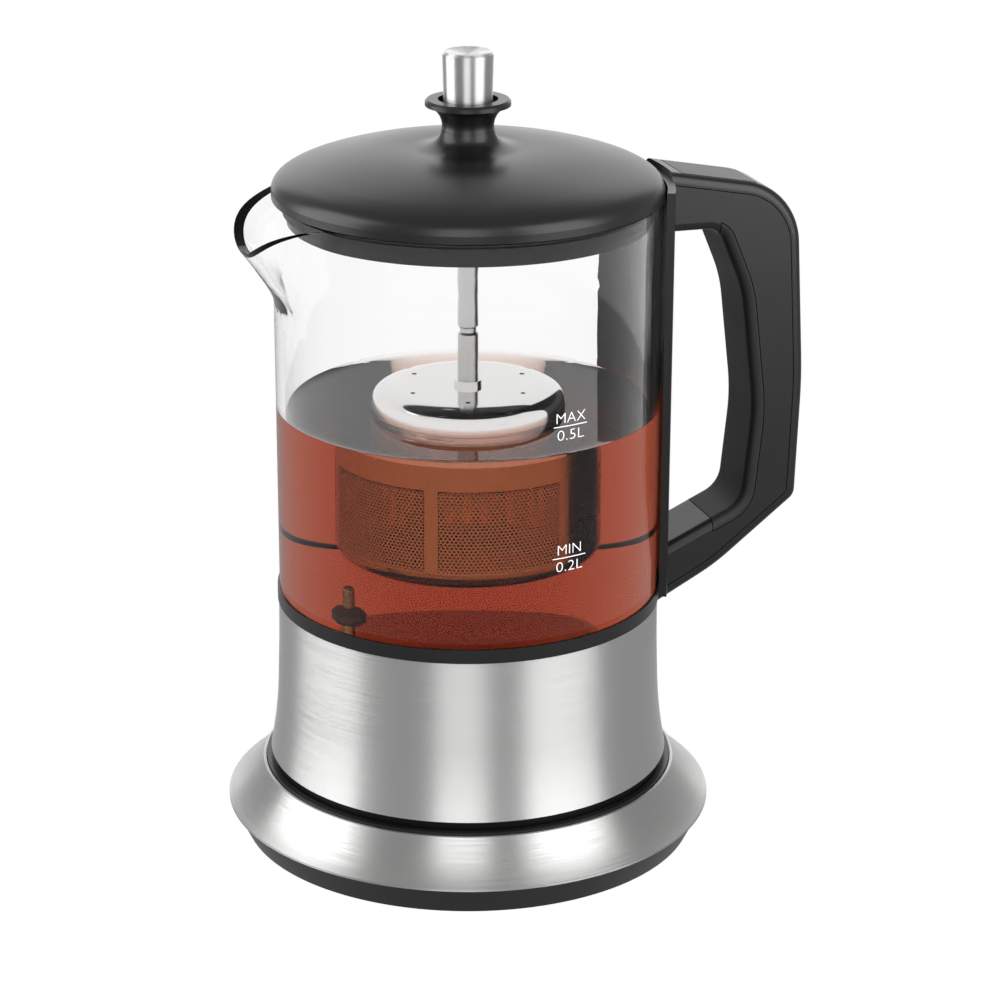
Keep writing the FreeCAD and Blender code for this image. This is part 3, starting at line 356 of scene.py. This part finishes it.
class BasketSizes(bpy.types.PropertyGroup):
    pitch: bpy.props.FloatProperty(
        name="Pitch", description="Distance from hole to hole", default=0.00104, unit="LENGTH")
    web: bpy.props.FloatProperty(
        name="Web", description="Half the metal left between two holes", default=0.00021, unit="LENGTH")
    sheet: bpy.props.FloatProperty(
        name="Sheet", description="Thickness of the sheet", default=0.0003, unit="LENGTH")
    panels: bpy.props.IntProperty(
        name="Panels", description="Perforated panels round the basket", default=5)
    band: bpy.props.FloatProperty(
        name="Band", description="Plain band between two panels", default=math.radians(6.0), subtype="ANGLE")
    bands_at: bpy.props.FloatProperty(
        name="First band", description="Place of the first plain band", default=-18.6)
    mesh_low: bpy.props.FloatProperty(
        name="Mesh foot", description="Lowest row of holes", default=0.0872, unit="LENGTH")
    mesh_high: bpy.props.FloatProperty(
        name="Mesh top", description="Highest row of holes", default=0.1107, unit="LENGTH")
    foot_round: bpy.props.FloatProperty(
        name="Foot rounding", description="Radius of the basket's lower edge", default=0.0045, unit="LENGTH")


def perforated_panel(sizes, radius, angle):
    """One perforated panel: six-sided cells in staggered rows, each with a hole, bent round the basket."""
    pitch = sizes.pitch
    row = pitch * math.sqrt(3) / 2
    width = radius * angle
    columns = round(width / pitch)
    pairs = round((sizes.mesh_high - sizes.mesh_low) / (2 * row))
    clear_selection()
    bpy.ops.mesh.primitive_circle_add(
        vertices=6, radius=pitch / math.sqrt(3), fill_type="NGON", rotation=(math.radians(90), 0, 0))
    cell = bpy.context.object
    bpy.ops.object.transform_apply(location=True, rotation=True, scale=True)
    bpy.ops.object.mode_set(mode="EDIT")
    bpy.ops.mesh.inset(thickness=sizes.web)
    bpy.ops.mesh.delete(type="FACE")
    bpy.ops.mesh.select_all(action="SELECT")
    bpy.ops.mesh.duplicate_move(TRANSFORM_OT_translate={"value": (pitch / 2, 0, row)})
    bpy.ops.object.mode_set(mode="OBJECT")
    merged_within = pitch / 50
    for count, offset in ((columns, (pitch, 0, 0)), (pairs, (0, 0, 2 * row))):
        apply_modifier(cell, "ARRAY", count=count, use_relative_offset=False, use_constant_offset=True,
                       constant_offset_displace=offset, use_merge_vertices=True,
                       merge_threshold=merged_within)
    apply_modifier(cell, "WELD", merge_threshold=merged_within)
    wide = columns * pitch + pitch / 2
    tall = pairs * 2 * row
    bpy.ops.transform.translate(value=(pitch * 0.25 - wide / 2 + pitch / 4, 0, sizes.mesh_low))
    bpy.ops.transform.resize(value=(width / wide, 1, (sizes.mesh_high - sizes.mesh_low) / tall),
                             center_override=(0, 0, sizes.mesh_low))
    bpy.ops.object.transform_apply(location=True, rotation=True, scale=True)
    bend_round(cell, width, radius)
    return cell


def bent_strip(radius, angle, low, high):
    """A plain strip of sheet, bent round the basket."""
    width = radius * angle
    clear_selection()
    bpy.ops.mesh.primitive_grid_add(
        x_subdivisions=max(2, round(math.degrees(angle) / STRIP_STEP_DEGREES)), y_subdivisions=2, size=1.0,
        rotation=(math.radians(90), 0, 0))
    strip = bpy.context.object
    strip.scale = (width, high - low, 1.0)
    strip.location = (0, 0, (low + high) / 2)
    bpy.ops.object.transform_apply(location=True, rotation=True, scale=True)
    bend_round(strip, width, radius)
    return strip


class MakeBasket(bpy.types.Operator):
    """Makes the perforated basket: panels of fine holes, plain bands, a top band and a rounded foot"""

    bl_idname = "tea_maker.basket"
    bl_label = "Perforated basket"

    def execute(self, context):
        sizes = context.scene.basket_sizes
        low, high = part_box("basket")
        radius = node_radius("basket") - sizes.sheet / 2
        step = 2 * math.pi / sizes.panels
        pieces = []
        for index in range(sizes.panels):
            band_at = facing(sizes.bands_at) + index * step + math.pi / 2
            panel = perforated_panel(sizes, radius, step - sizes.band)
            turn_about_axis(panel, band_at + step / 2)
            band = bent_strip(
                radius, sizes.band + BAND_LAP_ANGLE, sizes.mesh_low - BAND_LAP, sizes.mesh_high + BAND_LAP)
            turn_about_axis(band, band_at)
            pieces += [panel, band]
        clear_selection()
        bpy.ops.mesh.primitive_cylinder_add(
            vertices=120, radius=radius, depth=high.z - sizes.mesh_high, end_fill_type="NOTHING",
            location=(0, 0, (high.z + sizes.mesh_high) / 2))
        pieces.append(context.object)
        clear_selection()
        bottom = low.z + sizes.sheet / 2
        bpy.ops.mesh.primitive_cylinder_add(
            vertices=120, radius=radius, depth=sizes.mesh_low - bottom, end_fill_type="NGON",
            location=(0, 0, (sizes.mesh_low + bottom) / 2))
        foot = context.object
        bpy.ops.object.transform_apply(location=True, rotation=True, scale=True)
        select_vertices(foot, lambda co: co.z > sizes.mesh_low - 1e-5)
        bpy.ops.mesh.delete(type="ONLY_FACE")
        select_vertices(foot, lambda co: co.z < bottom + 1e-5)
        bpy.ops.mesh.bevel(offset=sizes.foot_round, segments=6, affect="EDGES")
        bpy.ops.object.mode_set(mode="OBJECT")
        pieces.append(foot)
        basket = joined(pieces)
        bpy.ops.object.mode_set(mode="EDIT")
        bpy.ops.mesh.select_all(action="SELECT")
        bpy.ops.mesh.normals_make_consistent(inside=False)
        bpy.ops.object.mode_set(mode="OBJECT")
        apply_modifier(basket, "SOLIDIFY", thickness=sizes.sheet, offset=0.0)
        sheet = plain("perforated_steel", (0.52, 0.38, 0.21), 0.26, 1.0, 60.0)
        finish_piece(basket, "basket_sheet", sheet, "strainer", 40.0)
        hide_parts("basket")
        return {"FINISHED"}


# Printed marks

PRINT_LIFT = 0.00004
UPPER_WORD_RISE = 0.0009
LOWER_WORD_DROP = 0.92
UPPER_SQUEEZE = 1.06
LOWER_SQUEEZE = 1.2
LETTER_THINNING = -0.00007


class MarkSizes(bpy.types.PropertyGroup):
    right_of_view: bpy.props.FloatProperty(
        name="Place", description="Degrees to the right of the camera's side", default=30.6)
    full_height: bpy.props.FloatProperty(
        name="Full line", description="Height of the line for the most tea", default=0.1338, unit="LENGTH")
    low_height: bpy.props.FloatProperty(
        name="Low line", description="Height of the line for the least tea", default=0.0966, unit="LENGTH")
    line_length: bpy.props.FloatProperty(
        name="Line length", description="Length of each line", default=0.0104, unit="LENGTH")
    line_width: bpy.props.FloatProperty(
        name="Line width", description="Width of each line", default=0.00026, unit="LENGTH")
    text_size: bpy.props.FloatProperty(
        name="Text size", description="Height of the letters with their space", default=0.0042, unit="LENGTH")


def printed_word(words, size, height, squeeze):
    clear_selection()
    bpy.ops.object.text_add(location=(0, 0, 0), rotation=(math.radians(90), 0, 0))
    text = bpy.context.object
    text.data.body = words
    text.data.size = size
    text.data.align_x = "CENTER"
    text.data.resolution_u = 3
    text.data.offset = LETTER_THINNING
    bpy.ops.object.convert(target="MESH")
    mesh = bpy.context.object
    mesh.scale = (squeeze, 1, 1)
    mesh.location = (0, 0, height)
    bpy.ops.object.transform_apply(location=True, rotation=True, scale=True)
    return mesh


class MakeMarks(bpy.types.Operator):
    """Prints the two filling lines with their volumes on the glass, in white print with a painted glow"""

    bl_idname = "tea_maker.marks"
    bl_label = "Filling marks"

    def execute(self, context):
        sizes = context.scene.mark_sizes
        radius = node_radius("glass_jar") + PRINT_LIFT
        flat = []
        for height, upper, lower in ((sizes.full_height, "MAX", "0.5L"), (sizes.low_height, "MIN", "0.2L")):
            flat.append(printed_word(upper, sizes.text_size, height + UPPER_WORD_RISE, UPPER_SQUEEZE))
            low_line = height - sizes.text_size * LOWER_WORD_DROP
            flat.append(printed_word(lower, sizes.text_size, low_line, LOWER_SQUEEZE))
            clear_selection()
            bpy.ops.mesh.primitive_grid_add(
                x_subdivisions=12, y_subdivisions=1, size=1.0, rotation=(math.radians(90), 0, 0))
            line = context.object
            line.scale = (sizes.line_length, sizes.line_width, 1.0)
            line.location = (0, 0, height)
            bpy.ops.object.transform_apply(location=True, rotation=True, scale=True)
            flat.append(line)
        marks = joined(flat)
        width = max(v.co.x for v in marks.data.vertices) - min(v.co.x for v in marks.data.vertices)
        bend_round(marks, width, radius)
        turn_about_axis(marks, facing(sizes.right_of_view) + math.pi / 2)
        print_white_painted_glow = plain("print_white_painted_glow", (0.9, 0.9, 0.9), 0.45)
        # The white is the print's own colour; the emission added here is a painted glow that makes the marks
        # shine without a lamp
        painted_glow_shader = print_white_painted_glow.node_tree.nodes["Principled BSDF"]
        painted_glow_shader.inputs["Emission Color"].default_value = (1, 1, 1, 1)
        painted_glow_shader.inputs["Emission Strength"].default_value = 0.35
        finish_piece(marks, "filling_marks", print_white_painted_glow, "jug")
        return {"FINISHED"}


# Finishes of the frame's own nodes

class DressNodes(bpy.types.Operator):
    """Gives every solid of the frame its material"""

    bl_idname = "tea_maker.finishes"
    bl_label = "Finishes"

    def execute(self, context):
        FINISHES.update(make_finishes())
        dress_nodes(FINISHES)
        return {"FINISHED"}


# Stage

class StageLook(bpy.types.PropertyGroup):
    floor_half: bpy.props.FloatProperty(
        name="Floor", description="Half the floor's side", default=6.0, unit="LENGTH")
    left_light: bpy.props.FloatProperty(
        name="Left box", description="Brightness of the left box", default=3.0)
    right_light: bpy.props.FloatProperty(
        name="Right box", description="Brightness of the right box", default=2.9)
    front_light: bpy.props.FloatProperty(
        name="Front box", description="Brightness of the front box", default=2.5)
    back_light: bpy.props.FloatProperty(
        name="Back box", description="Brightness of the back wall", default=1.0)
    ambient: bpy.props.FloatProperty(name="Ambient", description="Light from all round", default=0.4)


def soft_box(name, width, height, degrees, distance, middle, brightness):
    """An upright soft box round the jug; it lights and mirrors, and the camera doesn't see it."""
    light = bpy.data.lights.new(name, "AREA")
    light.shape = "RECTANGLE"
    light.size = width
    light.size_y = height
    light.energy = brightness * math.pi * width * height
    holder = bpy.data.objects.new(name, light)
    holder.location = around_view(degrees, distance, middle)
    holder.rotation_euler = (Vector((0, 0, middle)) - holder.location).to_track_quat("-Z", "Y").to_euler()
    holder.visible_camera = False
    holder.visible_transmission = False
    bpy.context.scene.collection.objects.link(holder)
    return holder


def around_view(degrees, distance, height):
    """A place so many degrees to the right of the camera's side of the jug."""
    angle = facing(degrees)
    return (distance * math.cos(angle), distance * math.sin(angle), height)


def backdrop_strength(tree, ambient, socket):
    """Full white where the backdrop is seen straight or through glass, and the ambient light elsewhere."""
    path = tree.nodes.new("ShaderNodeLightPath")
    seen = tree.nodes.new("ShaderNodeMath")
    seen.operation = "MAXIMUM"
    level = tree.nodes.new("ShaderNodeMapRange")
    level.inputs["To Min"].default_value = ambient
    level.inputs["To Max"].default_value = 1.0
    tree.links.new(path.outputs["Is Camera Ray"], seen.inputs[0])
    tree.links.new(path.outputs["Is Transmission Ray"], seen.inputs[1])
    tree.links.new(seen.outputs[0], level.inputs["Value"])
    tree.links.new(level.outputs["Result"], socket)


def white_floor(ambient):
    made = bpy.data.materials.new("white_floor")
    made.use_nodes = True
    tree = made.node_tree
    tree.nodes.clear()
    out = tree.nodes.new("ShaderNodeOutputMaterial")
    shine = tree.nodes.new("ShaderNodeEmission")
    backdrop_strength(tree, ambient, shine.inputs["Strength"])
    tree.links.new(shine.outputs[0], out.inputs["Surface"])
    return made


class MakeStage(bpy.types.Operator):
    """Sets the floor, the studio lights, the white surroundings and the camera"""

    bl_idname = "tea_maker.stage"
    bl_label = "Stage"

    def execute(self, context):
        look = context.scene.stage_look
        scene = context.scene
        scene.view_settings.view_transform = "Standard"
        clear_selection()
        bpy.ops.mesh.primitive_plane_add(size=2 * look.floor_half, location=(0, 0, -0.0005))
        floor = context.object
        floor.name = "floor"
        floor.data.materials.append(white_floor(look.ambient))

        world = bpy.data.worlds.new("studio")
        scene.world = world
        world.use_nodes = True
        tree = world.node_tree
        sky = tree.nodes["Background"]
        sky.inputs["Color"].default_value = (1, 1, 1, 1)
        backdrop_strength(tree, look.ambient, sky.inputs["Strength"])

        soft_box("left_box", width=0.72, height=1.1, degrees=-88, distance=0.8,
                 middle=0.52, brightness=look.left_light)
        soft_box("right_box", width=0.66, height=1.1, degrees=55, distance=0.8,
                 middle=0.52, brightness=look.right_light)
        soft_box("front_box", width=0.62, height=1.5, degrees=-4, distance=1.2,
                 middle=0.75, brightness=look.front_light)
        soft_box("back_box", width=1.4, height=1.3, degrees=180, distance=1.1,
                 middle=0.6, brightness=look.back_light)

        azimuth = math.radians(CAMERA_AZIMUTH)
        lift = math.radians(CAMERA_ELEVATION)
        level = math.cos(lift)
        back = Vector((math.sin(azimuth) * level, -math.cos(azimuth) * level, math.sin(lift)))
        lens = bpy.data.cameras.new("camera")
        lens.lens = CAMERA_LENS
        lens.sensor_width = 36.0
        lens.shift_x = CAMERA_SHIFT
        lens.clip_start = 0.01
        lens.clip_end = 30.0
        camera = bpy.data.objects.new("camera", lens)
        camera.location = Vector((0, 0, CAMERA_AIM_HEIGHT)) + back * CAMERA_DISTANCE
        camera.rotation_euler = (-back).to_track_quat("-Z", "Y").to_euler()
        scene.collection.objects.link(camera)
        scene.camera = camera
        return {"FINISHED"}


class TeaMakerPanel(bpy.types.Panel):
    """Lists the steps that dress the tea maker"""

    bl_idname = "VIEW3D_PT_tea_maker"
    bl_label = "Tea maker"
    bl_space_type = "VIEW_3D"
    bl_region_type = "UI"
    bl_category = "Tea maker"

    def draw(self, context):
        for step in STEPS:
            self.layout.operator(f"tea_maker.{step}")
        for group in PROPERTY_GROUPS:
            self.layout.label(text=group.replace("_", " "))
            settings = getattr(context.scene, group)
            for name in settings.bl_rna.properties.keys():
                if name not in ("rna_type", "name"):
                    self.layout.prop(settings, name)


FINISHES = {}
STEPS = ("finishes", "tea", "basket", "marks", "stage")
PROPERTY_GROUPS = {
    "tea_sizes": TeaSizes,
    "basket_sizes": BasketSizes,
    "mark_sizes": MarkSizes,
    "stage_look": StageLook,
}
OPERATORS = (DressNodes, MakeTea, MakeBasket, MakeMarks, MakeStage)


def register():
    for group in PROPERTY_GROUPS.values():
        bpy.utils.register_class(group)
    for name, group in PROPERTY_GROUPS.items():
        setattr(bpy.types.Scene, name, bpy.props.PointerProperty(type=group))
    for operator in OPERATORS:
        bpy.utils.register_class(operator)
    bpy.utils.register_class(TeaMakerPanel)


def unregister():
    bpy.utils.unregister_class(TeaMakerPanel)
    for operator in reversed(OPERATORS):
        bpy.utils.unregister_class(operator)
    for name, group in PROPERTY_GROUPS.items():
        delattr(bpy.types.Scene, name)
        bpy.utils.unregister_class(group)


def main():
    register()
    for step in STEPS:
        getattr(bpy.ops.tea_maker, step)()


if __name__ == "__main__":
    main()
